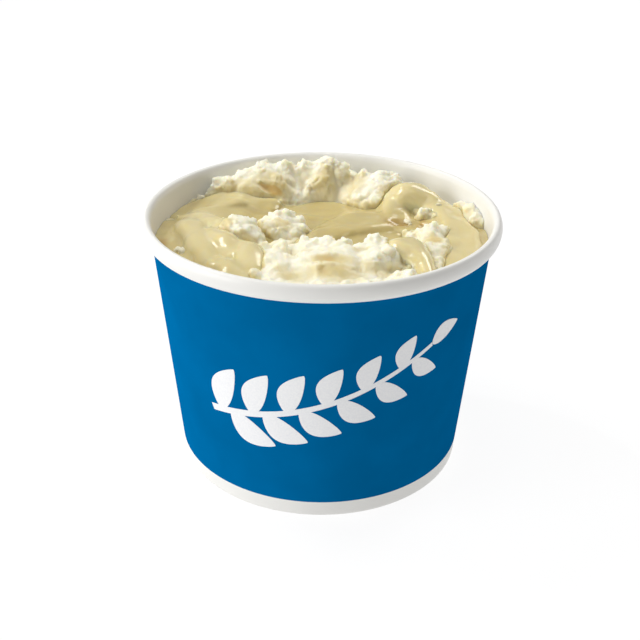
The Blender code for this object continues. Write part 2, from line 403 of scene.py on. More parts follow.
def makeCupFloor():
    # disc of paper with its skirt turned down between the wall and the hem
    gap, skirt = cup["floorGap"], cup["skirt"]
    top = cup["floorHeight"]
    low = top - cup["paper"]
    disc = (0.0001, 12, 24, 34)           # radii of its rings
    rows = [(r, top, 0) for r in disc]
    rows += [(innerWall(top) - gap - 0.25, top, 0), (innerWall(top) - gap, top - 0.25, 0)]
    rows += [(innerWall(z) - gap, z, 0) for z in (5, 3, 1)]
    rows += [(innerWall(z) - gap - skirt, z, 0) for z in (1, 3, 5)]
    rows += [(innerWall(low) - gap - skirt, low - 0.4, 0), (innerWall(low) - gap - skirt - 0.4, low, 0)]
    rows += [(r, low, 0) for r in disc[::-1]]
    profile = np.array(rows)[::-1]
    angles = np.radians(np.arange(0, 360, 3))
    points, quads, _ = turnProfile(profile, angles, np.zeros(len(angles)))
    quads = quads[:-len(angles)]          # the two axis ends aren't joined
    piece = makePiece("cupFloor", points, quads, [whitePaper()], "cup_floor",
                      sharpAngle=cup["sharpAngle"])
    mergePoles(piece)


def mergePoles(piece):
    # the rings that lie on the axis become one point each
    bm = bmesh.new()
    bm.from_mesh(piece.data)
    bmesh.ops.remove_doubles(bm, verts=bm.verts, dist=0.002 * mm)
    bm.to_mesh(piece.data)
    bm.free()


def whitePaper():
    f = Finish("whitePaper")
    fibre = f.noise(2600, 5, 0.6)
    cloud = f.noise(90, 3)
    white = linear(*cup["white"])
    shade = tuple(0.965 * c for c in white[:3]) + (1,)
    f.set(Base_Color=f.mix(f.range(cloud, 0.35, 0.65, 0, 1), white, shade),
          Roughness=f.range(fibre, 0.3, 0.7, 0.34, 0.44), IOR=1.45,
          Normal=f.bump(fibre, 0.00004, 0.35))
    return f.material


def bluePrint():
    f = Finish("bluePrint")
    fibre = f.noise(2200, 5, 0.6)
    cloud = f.noise(70, 4)
    blue = linear(*cup["blue"])
    deep = tuple(0.90 * c for c in blue[:3]) + (1,)
    f.set(Base_Color=f.mix(f.range(cloud, 0.35, 0.65, 0, 1), blue, deep),
          Roughness=f.range(fibre, 0.3, 0.7, 0.44, 0.54), IOR=1.35, Specular_IOR_Level=0.0,
          Normal=f.bump(fibre, 0.00003, 0.3))
    return f.material


# Leafy sprig printed on the front, in millimetres round the wall from the middle and up
sprig = {
    "start": (-29.0, 27.5),
    "end": (27.5, 46.5),
    "sag": 3.4,
    "stemWidth": 1.9,
    "leafPairs": 6,
    "leafLength": (14.0, 9.0),     # first and last leaf
    "leafWidth": (6.6, 4.6),
    "leafAngle": 50.0,             # degrees from the stem
    "ink": 0.05,                   # how far the print stands out
    "white": (246, 246, 246),
    "grey": (236, 237, 240),
}


def onWall(across, up, lift):
    # millimetres round the wall from its front, and up -> a point that far off the paper
    r = outerWall(up) + lift
    turn = across / outerWall(40) - math.pi / 2
    return np.stack([r * np.cos(turn), r * np.sin(turn), up], -1)


def closedPatch(across, up, lift):
    # a grid of places on the wall made a thin closed sheet: its face, its back and the edge between
    rows, columns = across.shape
    face, back = onWall(across, up, lift), onWall(across, up, -0.02)
    i, j = np.meshgrid(np.arange(rows - 1), np.arange(columns - 1), indexing="ij")
    a = (i * columns + j).ravel()
    quads = np.stack([a, a + 1, a + columns + 1, a + columns], 1)
    n = rows * columns
    loop = np.concatenate([np.arange(columns - 1), columns - 1 + columns * np.arange(rows - 1),
                           n - 1 - np.arange(columns - 1), columns * (rows - 1 - np.arange(rows - 1))])
    after = np.roll(loop, -1)
    rim = np.stack([after, loop, loop + n, after + n], 1)
    points = np.concatenate([face.reshape(-1, 3), back.reshape(-1, 3)])
    return points, np.concatenate([quads, quads[:, ::-1] + n, rim])


def leafGrid(base, angle, length, width):
    # from stalk to tip: the middle line bends a little, the half width is sin(pi t)^0.8, fuller
    # towards the stalk
    t = np.linspace(0.01, 0.995, 26)[:, None]
    v = np.linspace(-1, 1, 9)[None, :]
    half = 0.5 * width * np.sin(math.pi * t**0.85) ** 0.8 + 0.03
    bend = 0.10 * length * np.sin(math.pi * t) * np.sign(angle)
    along, side = length * t + 0 * v, half * v + bend
    c, s = math.cos(math.radians(angle)), math.sin(math.radians(angle))
    return base[0] + c * along - s * side, base[1] + s * along + c * side


def makeSprig():
    # a stem that sags as sin(pi t) below the line between its ends, narrowing, with pairs of leaves
    print("printing the sprig")
    (x0, y0), (x1, y1) = sprig["start"], sprig["end"]
    rise = math.degrees(math.atan2(y1 - y0, x1 - x0))

    def stem(t):
        return x0 + (x1 - x0) * t, y0 + (y1 - y0) * t - sprig["sag"] * np.sin(math.pi * t)

    t = np.linspace(0, 1, 60)[:, None]
    x, y = stem(t)
    v = np.linspace(-1, 1, 5)[None, :]
    width = 0.5 * sprig["stemWidth"] * (1.0 - 0.45 * t)
    c, s = math.cos(math.radians(rise)), math.sin(math.radians(rise))
    grids = [(x - s * width * v, y + c * width * v)]
    pairs = sprig["leafPairs"]
    for k in range(pairs):
        share = k / (pairs - 1)
        length, width = (first + share * (last - first)
                         for first, last in (sprig["leafLength"], sprig["leafWidth"]))
        for side, shift in ((1, 0.0), (-1, 0.055)):
            base = stem(0.05 + 0.80 * share + shift)
            grids.append(leafGrid(base, rise + side * sprig["leafAngle"], length, width))
    grids.append(leafGrid(stem(1.0), rise + 6, sprig["leafLength"][1], sprig["leafWidth"][1]))
    parts = [closedPatch(gx, gy, sprig["ink"] + 0.002 * k) for k, (gx, gy) in enumerate(grids)]
    starts = np.cumsum([0] + [len(points) for points, _ in parts])
    points = np.concatenate([points for points, _ in parts])
    quads = np.concatenate([faces + start for (_, faces), start in zip(parts, starts)])
    makePiece("printedSprig", points, facingOut(points, quads), [whitePrint()],
              sharpAngle=40)


def facingOut(points, faces):
    # turns all faces round if the enclosed volume comes out negative
    a, b, c = points[faces[:, 0]], points[faces[:, 1]], points[faces[:, 2]]
    volume = np.sum(a * np.cross(b, c))
    if faces.shape[1] == 4:
        volume += np.sum(a * np.cross(c, points[faces[:, 3]]))
    return faces if volume > 0 else faces[:, ::-1]


def whitePrint():
    f = Finish("whitePrint")
    fibre = f.noise(2200, 5, 0.6)
    white, grey = linear(*sprig["white"]), linear(*sprig["grey"])
    f.set(Base_Color=f.mix(f.range(fibre, 0.3, 0.7, 0, 1), white, grey),
          Roughness=f.range(fibre, 0.3, 0.7, 0.40, 0.50), IOR=1.40, Specular_IOR_Level=0.35,
          Normal=f.bump(fibre, 0.00003, 0.3))
    return f.material


# Gravy streams: x, y, top and half width along the middle, then how far the edge falls, over what
# width, and how softly the stream joins the others
gravyStreams = {
    "left": ([(-24, 12.4, 60.2, 5.6), (-29.0, 10.4, 61.6, 6.4), (-32.2, 5.5, 62.4, 5.6),
              (-32.4, -0.5, 62.9, 4.6), (-30.4, -7.4, 63.1, 4.4), (-27.4, -13.4, 62.7, 4.6),
              (-24.0, -19.6, 62.3, 4.6), (-21.0, -26.0, 61.6, 4.4)], 2.4, 4.2, 1.2),
    "leftBack": ([(-37.4, 13.6, 59.6, 4.0), (-32.8, 18.0, 60.4, 4.8), (-27, 20.6, 61.4, 5.0),
                  (-21, 22.2, 62.1, 4.8), (-15.0, 20.8, 60.6, 4.4)], 0.7, 2.4, 2.0),
    "leftSlope": ([(-23, 15.5, 59.7, 5.2), (-18.6, 13.0, 59.1, 4.6)], 0.4, 2.0, 1.6),
    "leftLobe": ([(-27.6, -4.4, 63.5, 2.8), (-25.4, -8.6, 64.4, 3.8), (-23.2, -12.6, 64.5, 3.9),
                  (-21.6, -17.2, 63.6, 3.2)], 3.0, 3.9, 0.6),
    "leftLobeLow": ([(-19.6, -11.6, 63.4, 2.8), (-17.6, -15.8, 64.4, 3.9), (-16.8, -20.2, 64.0, 4.0),
                     (-17.2, -24.6, 62.6, 3.2)], 3.0, 3.9, 0.6),
    "leftTip": ([(-24.0, -21.0, 62.8, 3.0), (-21.2, -24.6, 62.8, 3.2), (-18.6, -28.0, 62.2, 3.0)],
                1.8, 3.0, 0.8),
    "leftFold": ([(-36.4, 9.0, 61.6, 1.8), (-31.0, 6.8, 63.0, 2.6), (-27.6, 3.2, 63.2, 2.6),
                  (-26.0, -1.0, 63.0, 2.0)], 0.9, 2.6, 1.2),
    "leftGutter": ([(-39.6, 6, 60.2, 3.6), (-38.8, -5, 60.2, 4.8), (-34.8, -14, 60.0, 5.2),
                    (-29.5, -22, 60.0, 5.0), (-23, -30, 60.2, 4.6)], 0.6, 2.0, 1.4),
    "islandGap": ([(-6, 12, 58.9, 4.4), (-1, 10, 58.7, 4.4), (3, 8, 58.8, 4.0)], 0.4, 1.8, 1.2),
    "domeFront": ([(19.6, 17.4, 62.6, 3.8), (20.2, 14.0, 61.4, 3.8), (20.0, 11.4, 60.4, 3.4)],
                  1.4, 2.6, 1.6),
    "leftValley": ([(-18, 16, 59.3, 4.8), (-16.4, 9, 59.0, 4.4), (-15.6, 1.5, 58.9, 3.6),
                    (-13.4, -4.4, 58.8, 2.6)], 0.3, 1.6, 1.2),
    "middleBack": ([(-12, 14.5, 58.8, 5.0), (-5, 18.0, 58.8, 5.6), (2, 19, 59.0, 6.2),
                    (9, 17.0, 59.3, 6.2), (16, 13.5, 59.4, 5.4)], 0.3, 1.8, 1.2),
    "rightGap": ([(20, 10.5, 59.6, 4.2), (25.0, 7.4, 60.0, 4.2), (30.0, 6.4, 60.8, 3.4)],
                 0.4, 1.8, 1.0),
    "middle": ([(7, 9, 58.8, 8.4), (12, 4.5, 58.7, 9.0), (9.5, -1, 58.3, 7.6),
                (6.4, -5, 58.0, 5.4)], 0.8, 2.0, 1.2),
    "middleFront": ([(22, 12.6, 60.0, 4.6), (14.5, 10.0, 60.2, 6.0), (7.2, 7.2, 60.1, 5.6),
                     (1.4, 3.2, 60.1, 4.4), (-3.0, -2.6, 60.5, 3.2), (-5.2, -7, 60.4, 2.4)],
                    1.5, 3.2, 0.5),
    "fold": ([(16, 14.5, 60.3, 1.6), (10, 13.4, 60.4, 2.0), (4.6, 11.2, 60.2, 2.0),
              (1.0, 8.2, 59.9, 1.6)], 0.9, 1.8, 0.5),
    "dome": ([(17.0, 18.8, 62.2, 3.2), (20.2, 20.4, 64.8, 4.8), (24.0, 21.0, 66.6, 5.8),
              (28.6, 19.6, 65.0, 5.0)], 6.2, 5.6, 0.9),
    "right": ([(29.6, 18.4, 62.8, 4.2), (32.6, 13.2, 62.4, 3.8), (34.6, 7.6, 62.0, 3.9),
               (35.6, 1.6, 61.8, 4.3), (35.4, -5.4, 61.6, 4.8), (34.2, -12.4, 61.4, 4.9),
               (32.6, -18.6, 61.1, 4.3), (31.2, -24, 60.9, 3.0)], 1.5, 1.9, 0.6),
    "rightPool": ([(39.8, 3.0, 60.3, 3.6), (39.6, -5, 60.0, 4.2), (37.4, -13.4, 60.0, 4.4),
                   (34.4, -21, 60.0, 3.8)], 0.8, 1.6, 0.6),
    "frontDrop": ([(17.4, -8.6, 62.6, 2.6), (18.8, -11.6, 64.2, 4.6), (20.4, -14.6, 64.9, 5.2),
                   (22.4, -18.2, 64.6, 4.2), (23.8, -22.0, 63.7, 3.2), (24.6, -26.6, 62.4, 2.6)],
                  3.4, 3.9, 0.4),
}

# Mounds of potato: centre x and y, half length, half width, turn in degrees, top, steepness
mounds = {
    "backLeft": (-17.0, 31.2, 14.6, 11.0, 16, 67.2, 2.3),
    "backLeftShoulder": (-26.5, 26.8, 5.6, 5.4, 0, 64.0, 2.6),
    "backMiddle": (0.4, 33.0, 9.0, 10.2, 0, 68.9, 2.1),
    "backJoin": (-7.0, 33.0, 6.5, 9.6, 0, 66.0, 2.4),
    "backSaddle": (8.3, 33.0, 7.0, 10.2, 0, 64.8, 2.4),
    "backRight": (15.6, 27.8, 9.2, 11.4, -38, 65.8, 2.3),
    "rightDome": (24.2, 19.6, 8.0, 6.4, -10, 61.8, 2.6),
    "rightCrumb": (27.2, 12.4, 2.8, 2.6, 30, 62.0, 2.4),
    "rightRidge": (34.2, -2.0, 5.2, 19.0, 4, 60.4, 2.6),
    "rightWallClump": (38.8, 10.6, 4.4, 7.6, 20, 63.2, 2.6),
    "rightFront": (28.4, -11.4, 6.0, 13.4, 6, 62.9, 3.2),
    "island": (-10.6, 5.0, 8.0, 5.6, -6, 62.6, 3.6),
    "leftMiddle": (-20.8, -2.8, 8.4, 7.4, 30, 64.6, 2.8),
    "leftBackRidge": (-31.0, 7.0, 9.0, 12.5, -14, 59.6, 2.6),
    "leftFrontRidge": (-25.4, -15.6, 16.5, 7.0, -60, 60.4, 2.6),
    "leftJoin": (-15.0, -10.0, 6.5, 5.5, 0, 61.0, 2.4),
    "bridge": (-7.0, -6.0, 9.5, 4.6, 4, 60.9, 2.4),
    "frontBody": (0.5, -26.0, 21.0, 16.0, 0, 62.0, 5.0),
    "frontLeft": (-11.2, -21.6, 7.4, 11.0, 10, 63.0, 3.2),
    "frontMiddle": (1.4, -20.8, 10.4, 10.6, 0, 64.2, 6.0),
    "frontRight": (13.0, -18.8, 6.4, 7.2, 15, 64.6, 4.0),
    "frontCrumb": (18.8, -30.2, 5.0, 4.6, 0, 62.8, 2.4),
    "frontEdge": (2.0, -33.0, 19.0, 7.5, 0, 61.8, 2.6),
}

# Knobs that stand up out of the mounds: x, y, top, radius
knobs = [
    (-29.6, 25.4, 62.4, 1.6), (-25.2, 27.4, 65.2, 2.4), (-21.0, 30.6, 66.6, 2.8), (-16.9, 32.8, 67.6, 3.0),
    (-12.8, 33.0, 67.2, 2.2), (-9.6, 33.2, 67.8, 2.6), (-4.8, 33.0, 67.6, 2.2), (-1.8, 32.8, 68.6, 2.2),
    (1.3, 32.4, 69.9, 2.2), (4.8, 32.2, 68.6, 2.2), (7.6, 31.4, 65.6, 2.0), (13.0, 30.6, 65.8, 2.4),
    (16.2, 29.0, 66.4, 2.2), (19.2, 27.6, 66.0, 1.8), (14.8, 15.8, 60.8, 2.0), (27.2, 12.6, 62.8, 1.4),
    (36.8, 13.8, 63.0, 2.2), (40.0, 12.6, 64.0, 2.0), (39.8, 7.0, 63.0, 2.2), (31.0, -0.6, 63.0, 1.8),
    (26.0, -1.6, 63.2, 1.8), (28.8, -2.2, 63.8, 2.0), (27.4, -4.6, 63.2, 2.4), (-14.6, 6.0, 62.8, 1.6),
    (-11.8, 7.4, 63.8, 1.7), (-8.6, 7.0, 63.9, 1.6), (-5.6, 4.8, 62.6, 1.8), (-9.6, 2.6, 62.4, 2.2),
    (-24.4, -0.6, 64.0, 1.7), (-21.6, 0.4, 65.0, 1.8), (-18.6, -1.0, 64.4, 1.6), (-16.6, -4.6, 63.0, 2.0),
    (-14.0, -8.6, 61.8, 2.2), (-9.2, -12.4, 62.8, 2.2), (-5.6, -9.8, 61.9, 2.0), (-2.0, -12.0, 63.9, 2.6),
    (1.6, -12.6, 64.4, 2.4), (4.8, -13.6, 64.4, 2.2), (9.4, -14.6, 64.0, 2.2), (12.4, -13.9, 65.2, 2.2),
    (15.2, -15.0, 64.5, 2.0), (14.6, -20.6, 65.4, 2.4), (11.0, -24.4, 63.8, 3.0), (-12.8, -22.6, 63.8, 2.4),
    (-8.6, -20.4, 63.6, 2.4), (-15.8, -28.2, 62.8, 2.0), (18.6, -30.0, 63.8, 3.0), (25.6, -13.4, 63.4, 2.4),
]

# Dents in potato and gravy alike: x, y, half length, half width, depth
dents = [(-14.4, 23.9, 5.2, 1.6, 0.9), (-13.0, 20.8, 6.0, 2.4, -0.7), (19.8, 8.6, 3.8, 2.4, 1.4),
         (26.4, 6.6, 2.0, 3.2, 1.2), (6.6, -6.0, 3.6, 1.8, 0.8), (2.0, -24.0, 6.0, 2.6, 0.8),
         (9.4, -26.0, 3.4, 2.0, 0.6), (-6.0, -18.6, 1.6, 5.0, 0.8), (8.2, -20.6, 2.0, 5.0, 0.7)]


potato = {
    "fillLevel": 57.6,
    "riseAtWall": 1.6,
    "merge": 0.9,              # how softly mounds join
    "radius": 42.2,            # of the grid that is shaped
    "spacing": 0.36,
    "longestEdge": 0.54,
    "warp": 1.3,               # how far outlines wander
    "lumps": 0.8,
    "nuggets": 0.8,
    "nuggetSize": 2.7,
    "chips": 1.5,              # sharp bits, along the crests only
    "chipSize": 1.6,
    "grains": 0.85,
    "grainSize": 1.1,
    "fluff": 0.30,
    "hollowReach": 3.0,        # over what distance hollows and crests are told apart
    "wallGap": 0.04,
    "cream": (240, 237, 218),
    "yellower": (240, 233, 204),
    "straw": (220, 206, 157),  # where gravy has soaked in, and painted shade in hollows and creases
    "amber": (214, 182, 112),  # where it has soaked in most
    "scatter": 0.85,
}

gravy = {
    "radius": 42.3,
    "spacing": 0.4,
    "longestEdge": 0.62,
    "edgeSlope": 2.0,          # how steeply a stream's side goes on below its edge
    "thickness": (0.25, 3.45),  # at the edge, and 3 mm in from it
    "wallGap": 0.03,
    "thin": (231, 219, 172),
    "full": (200, 183, 127),   # thick, and painted shade where the gravy lies low
    "brown": (176, 136, 68),   # painted shade in the pockets, where the gravy also lies deep
    "cloud": (198, 180, 120),
}


def awayFrom(xy, cx, cy, length, width):
    # 0 at the middle of an ellipse, 1 on its outline
    return np.hypot((xy[:, 0] - cx) / length, (xy[:, 1] - cy) / width)


def smoothPath(rows, steps=7):
    # Catmull-Rom curve through the rows
    p = np.array(rows, float)
    p = np.concatenate([[2 * p[0] - p[1]], p, [2 * p[-1] - p[-2]]])
    t = np.linspace(0, 1, steps, endpoint=False)[:, None]
    parts = []
    for k in range(1, len(p) - 2):
        a, b, c, d = p[k - 1:k + 3]
        parts.append(0.5 * (2 * b + (c - a) * t + (2 * a - 5 * b + 4 * c - d) * t**2
                            + (3 * b - a - 3 * c + d) * t**3))
    return np.concatenate(parts + [p[-2:-1]])


def streamSurface(xy, path, fall, rounding):
    # inside: half width less the distance to the path; top: the path's height, rounded down at the
    # edge as a quarter circle of that fall and width, and steeply on down beyond it
    x, y = xy.T
    inside = np.full(len(xy), -1e3)
    top = np.zeros(len(xy))
    for (x0, y0, z0, w0), (x1, y1, z1, w1) in zip(path, path[1:]):
        dx, dy = x1 - x0, y1 - y0
        t = np.clip(((x - x0) * dx + (y - y0) * dy) / (dx * dx + dy * dy), 0, 1)
        reach = w0 + t * (w1 - w0) - np.hypot(x - x0 - t * dx, y - y0 - t * dy)
        closer = reach > inside
        inside = np.where(closer, reach, inside)
        top = np.where(closer, z0 + t * (z1 - z0), top)
    u = np.clip(inside / rounding, 0, 1)
    drop = fall * (1 - np.sqrt(1 - (1 - u) ** 2))
    return inside, top - drop + gravy["edgeSlope"] * np.minimum(inside, 0)


gravyPaths = [(smoothPath(rows), *rest) for rows, *rest in gravyStreams.values()]


def wander(xy):
    # each point moved a little sideways by noise, so that no edge runs straight
    flat = np.column_stack([xy, np.zeros(len(xy))])
    return xy + 0.6 * np.stack([roughNoise(flat, 7, 31, 2), roughNoise(flat, 7, 41, 2)], 1)


def dentDepth(xy):
    # each dent is its full depth in the middle and runs out to nothing at its outline
    return sum(depth * (1 - smoothStep(0.1, 1.0, awayFrom(xy, *ellipse)))
               for *ellipse, depth in dents)


def gravySurface(xy):
    # the streams joined softly into one surface, with swells, ripples along the edges and dents;
    # inside is the largest of theirs
    moved = wander(xy)
    inside = np.full(len(xy), -1e3)
    top = np.full(len(xy), -1e3)
    for path, fall, rounding, soft in gravyPaths:
        streamInside, streamTop = streamSurface(moved, path, fall, rounding)
        top = softMax(top, streamTop, soft)
        inside = np.maximum(inside, streamInside)
    flat = np.column_stack([xy, np.zeros(len(xy))])
    ripple = np.sin(2.3 * inside + 5 * softNoise(flat, 9, 53)) * smoothStep(0.8, 2.6, inside)
    top = top + 0.42 * roughNoise(flat, 8, 51, 2) + 0.12 * softNoise(flat, 2.9, 52) - dentDepth(xy)
    top += 0.08 * ripple * smoothStep(-0.2, 0.5, softNoise(flat, 7, 54))
    return inside, top


def potatoHeight(xy):
    # fill level and mounds joined by the log of summed powers, knobs on top, pressed down under the
    # gravy where it would only just show, and raised to carry the gravy's edge
    flat = np.column_stack([xy, np.zeros(len(xy))])
    x = xy[:, 0] + potato["warp"] * roughNoise(flat, 6, 1, 2)
    y = xy[:, 1] + potato["warp"] * roughNoise(flat, 6, 5, 2)
    level = potato["riseAtWall"] * (np.hypot(*xy.T) / 42) ** 4
    total = np.exp(level / potato["merge"])
    for cx, cy, length, width, turn, top, steep in mounds.values():
        c, s = math.cos(math.radians(turn)), math.sin(math.radians(turn))
        along = (c * (x - cx) + s * (y - cy)) / length
        across = (-s * (x - cx) + c * (y - cy)) / width
        height = (top - potato["fillLevel"]) * (1 - np.hypot(along, across) ** steep)
        total += np.exp(np.clip(height, -20, None) / potato["merge"])
    height = potato["fillLevel"] + potato["merge"] * (np.log(total) - 0.4)
    height += potato["lumps"] * softNoise(flat, 5.5, 9) - dentDepth(xy)
    for cx, cy, top, radius in knobs:
        away = np.hypot(x - cx, y - cy) / radius
        height = np.where(away < 2, softMax(height, top - 0.3 - 1.2 * away**2, 1.0), height)
    inside, gravyTop = gravySurface(xy)
    shows = smoothStep(0.4, 1.7, height - gravyTop)
    pressed = np.minimum(height, gravyTop - 1.0)
    height = height + (pressed - height) * smoothStep(0.0, 1.6, inside) * (1 - shows)
    under = smoothStep(0.0, 1.2, inside)
    needed = gravyTop - gravy["edgeSlope"] * np.minimum(inside, 0) + 0.2 * (1 - under) - 2.4 * under
    carried = np.maximum(height, needed)
    return height + (carried - height) * smoothStep(-3.0, -0.4, inside)


def hollowDepth(xy, z):
    # mean height of eight places around each point, less its own height
    total = np.zeros(len(xy))
    for k in range(8):
        turn = math.pi * k / 4
        total += potatoHeight(xy + potato["hollowReach"] * np.array([math.cos(turn), math.sin(turn)]))
    return total / 8 - z


def crumbRelief(base, crest):
    # how far the surface stands out: round nuggets and grains, each with its own size, sharp chips
    # along the crests, and fluff from noise; the nuggets and grains themselves are given back too
    bent = base + 0.7 * np.stack([softNoise(base, 2.4, 77 + k) for k in range(3)], 1)
    nuggets, own = grainBumps(bent, potato["nuggetSize"], 11)
    grains, grainOwn = grainBumps(bent, potato["grainSize"], 21)
    chips, chipOwn = grainBumps(bent, potato["chipSize"], 141)
    chips = (1 - np.sqrt(np.clip(1 - chips, 0, 1))) * chipOwn**1.5
    patch = np.clip(0.6 + 0.8 * softNoise(base, 6, 71), 0.2, 1.2)
    relief = (potato["nuggets"] * (nuggets - 0.6) * (0.35 + 1.1 * own)
              + potato["chips"] * (chips - 0.15) * crest
              + potato["grains"] * (np.sqrt(np.clip(grains, 0, 1)) - 0.75) * (0.3 + 1.2 * grainOwn)
              * patch * (0.6 + 0.4 * crest)
              + potato["fluff"] * roughNoise(base, 1.3, 61, 3) * (0.6 + 1.1 * crest))
    return relief, nuggets, grains


def makePotato():
    # the height over a disc, pushed out along its normals by the crumbs, less so under the gravy and
    # where gravy has smeared it flat, with its outline on the wall
    print("shaping potato")
    outline = potato["radius"]
    xy, triangles = discGrid(outline, potato["spacing"])
    xy, triangles = refine(xy, triangles, potatoHeight, potato["longestEdge"], 2)
    z = evened(potatoHeight(xy), triangles, 2)
    base = np.column_stack([xy, z])
    inside, gravyTop = gravySurface(xy)
    hidden = smoothStep(-0.3, 1.6, inside) * (1 - smoothStep(-0.4, 0.8, z - gravyTop))
    rough = (1 - 0.9 * hidden) * (1 - np.clip(2.2 * (smoothSpots(xy) - 0.3), 0, 0.92))
    hollow = hollowDepth(xy, z)
    crest = smoothStep(-0.1, 1.2, -hollow) * (1 - smoothStep(40, 42, np.hypot(*xy.T)))
    relief, nuggets, grains = crumbRelief(base, crest)
    points = base + pointNormals(base, triangles) * (rough * relief)[:, None]

    limit = innerWall(points[:, 2]) - potato["wallGap"]
    radius = np.hypot(points[:, 0], points[:, 1])
    wanted = np.where(np.hypot(*xy.T) > outline - 0.05, limit, np.minimum(radius, limit))
    points[:, :2] *= (wanted / np.maximum(radius, 1e-6))[:, None]

    # painted shade: straw tint in the hollows and in the creases between nuggets and grains, half as much
    # on the crests
    creaseShade = smoothStep(0.0, 1.6, hollow) * 0.34 + smoothStep(0.1, 0.9, 0.6 - nuggets) * 0.12
    creaseShade = (creaseShade + 0.05 * (1 - grains)) * (1 - 0.5 * crest)
    # one field for the gravy's real stain and this painted shade together
    soakAndShade = np.maximum(soaking(points, xy, inside, gravyTop), creaseShade)
    points, triangles, extra = closeBelow(points, triangles)
    makePiece("mashedPotato", points, triangles, [potatoFinish("mashedPotato", potato["scatter"])],
              "mashed_potato",
              attributes={"soakAndShade": np.concatenate([soakAndShade, np.zeros(extra)])})


def closeBelow(points, triangles):
    # rings down the inside of the wall to the floor, and a fan that closes the underside; the last
    # value is how many points that adds
    edges = openEdges(triangles)
    nextOf = dict(edges.tolist())
    loop = [edges[0, 0]]
    while nextOf[loop[-1]] != loop[0]:
        loop.append(nextOf[loop[-1]])
    loop = np.array(loop)
    turn = np.arctan2(points[loop, 1], points[loop, 0])
    floor = cup["floorHeight"] + 0.05
    share = np.array([0.05, 0.35, 0.7, 1.0])[:, None]
    z = points[loop, 2] * (1 - share) + floor * share
    r = innerWall(z) - 0.06
    rings = np.stack([r * np.cos(turn), r * np.sin(turn), z], 2).reshape(-1, 3)
    n, first = len(loop), len(points)
    above = loop
    sides = []
    for k in range(len(share)):
        below = first + k * n + np.arange(n)
        sides += [np.stack([np.roll(above, -1), above, below], 1),
                  np.stack([np.roll(above, -1), below, np.roll(below, -1)], 1)]
        above = below
    middle = first + len(rings)
    sides.append(np.stack([np.roll(above, -1), above, np.full(n, middle)], 1))
    points = np.concatenate([points, rings, [[0, 0, floor]]])
    return points, np.concatenate([triangles] + sides), len(rings) + 1


# Loose crumbs of potato that rest on the food: x, y, radius
crumbs = {
    "places": [(-35.2, -11.6, 0.9), (-34.0, -12.8, 0.7), (-33.2, 22.8, 0.9), (-31.6, 23.8, 0.8),
               (22.4, 9.6, 0.7), (23.2, 8.4, 0.5), (-18.6, 8.2, 0.5), (30.8, 14.4, 0.5)],
    "unevenness": 0.42,
    "stain": 0.15,
    "wallGap": 0.03,
}


def grainBall():
    # a ball of 162 points, from Blender's own icosphere
    bm = bmesh.new()
    bmesh.ops.create_icosphere(bm, subdivisions=3, radius=1)
    points = np.array([v.co for v in bm.verts])
    faces = np.array([[v.index for v in f.verts] for f in bm.faces])
    bm.free()
    return points, faces


def makeCrumbs():
    # balls pulled out of round by noise, turned at random, with their centres just above the food
    print("placing crumbs")
    rng = np.random.default_rng(5)
    ball, faces = grainBall()
    places = np.array(crumbs["places"])
    xy, radius = places[:, :2], places[:, 2]
    top = np.maximum(gravySurface(xy)[1], potatoHeight(xy))
    centre = np.column_stack([xy, top + 0.1 * radius])
    n = len(centre)
    axes = np.linalg.qr(rng.normal(size=(n, 3, 3)))[0]
    stretch = 0.7 + 0.6 * rng.random((n, 1, 3))
    spread = ball[None] * 1.1 + 40 * rng.random((n, 1, 3))
    bumpy = roughNoise(spread.reshape(-1, 3), 1.0, 5, 3).reshape(n, -1, 1)
    shape = ball[None] * (1 + crumbs["unevenness"] * bumpy) * stretch
    placed = np.einsum("nij,nkj->nki", axes, shape) * radius[:, None, None] + centre[:, None]
    placed = keptInside(placed.reshape(-1, 3), crumbs["wallGap"])
    allFaces = faces[None] + len(ball) * np.arange(n)[:, None, None]
    flip = np.linalg.det(axes) < 0
    allFaces[flip] = allFaces[flip][:, :, ::-1]
    makePiece("potatoCrumbs", placed, allFaces.reshape(-1, 3), [potatoFinish("potatoCrumbs", 0.0)],
              attributes={"soakAndShade": np.full(len(placed), crumbs["stain"])})


# Places where gravy has soaked in or smeared the potato flat: x, y, half length, half width, strength
soaked = [
    (-14.4, 23.8, 5.2, 1.7, 1.0), (-13.6, 26.2, 7.0, 4.2, 0.60), (-22.0, 23.0, 10.0, 4.0, 0.66),
    (-29.0, 23.0, 4.6, 3.0, 0.6), (-12.0, 21.0, 9.0, 3.0, 0.66), (-3.0, 24.4, 3.0, 3.0, 0.3),
    (1.6, 26.2, 6.6, 5.4, 0.60), (8.6, 27.8, 4.6, 4.4, 0.5), (17.4, 21.6, 3.4, 3.0, 0.42),
    (2.6, -24.4, 8.0, 3.2, 0.76), (4.0, -29.6, 8.0, 4.0, 0.6), (9.6, -25.8, 4.0, 3.0, 0.5),
    (-5.5, -29.0, 6.0, 3.6, 0.58), (14.0, -26.4, 4.4, 3.0, 0.5), (9.6, -17.4, 3.0, 1.8, 0.45),
    (38.2, 9.4, 2.2, 2.8, 0.4), (-10.6, 1.4, 4.6, 2.2, 0.5), (-18.4, -8.6, 5.0, 2.6, 0.55),
    (-24.6, -3.6, 3.6, 3.0, 0.55), (27.6, -8.6, 3.6, 4.6, 0.6), (30.8, -17.0, 3.4, 6.0, 0.45),
    (-8.6, -26.6, 3.0, 2.0, 0.4), (-3.6, -17.6, 2.4, 3.0, 0.3),
]


def smoothSpots(xy):
    # the strongest of the soaked places, each fading from four tenths of the way out
    return np.max([strength * (1 - smoothStep(0.4, 1.1, awayFrom(xy, *ellipse)))
                   for *ellipse, strength in soaked], axis=0)


def soaking(points, xy, inside, gravyTop):
    # strongest at the soaked places, and just above the gravy's edge, clouded by noise
    edge = (1 - smoothStep(0.2, 3.4, points[:, 2] - gravyTop)) * smoothStep(-3.6, 0.2, inside)
    cloud = 0.5 + 0.5 * roughNoise(points, 4, 91, 2)
    return np.clip(np.maximum(smoothSpots(xy), 0.62 * edge) * (0.65 + 0.6 * cloud), 0, 1)


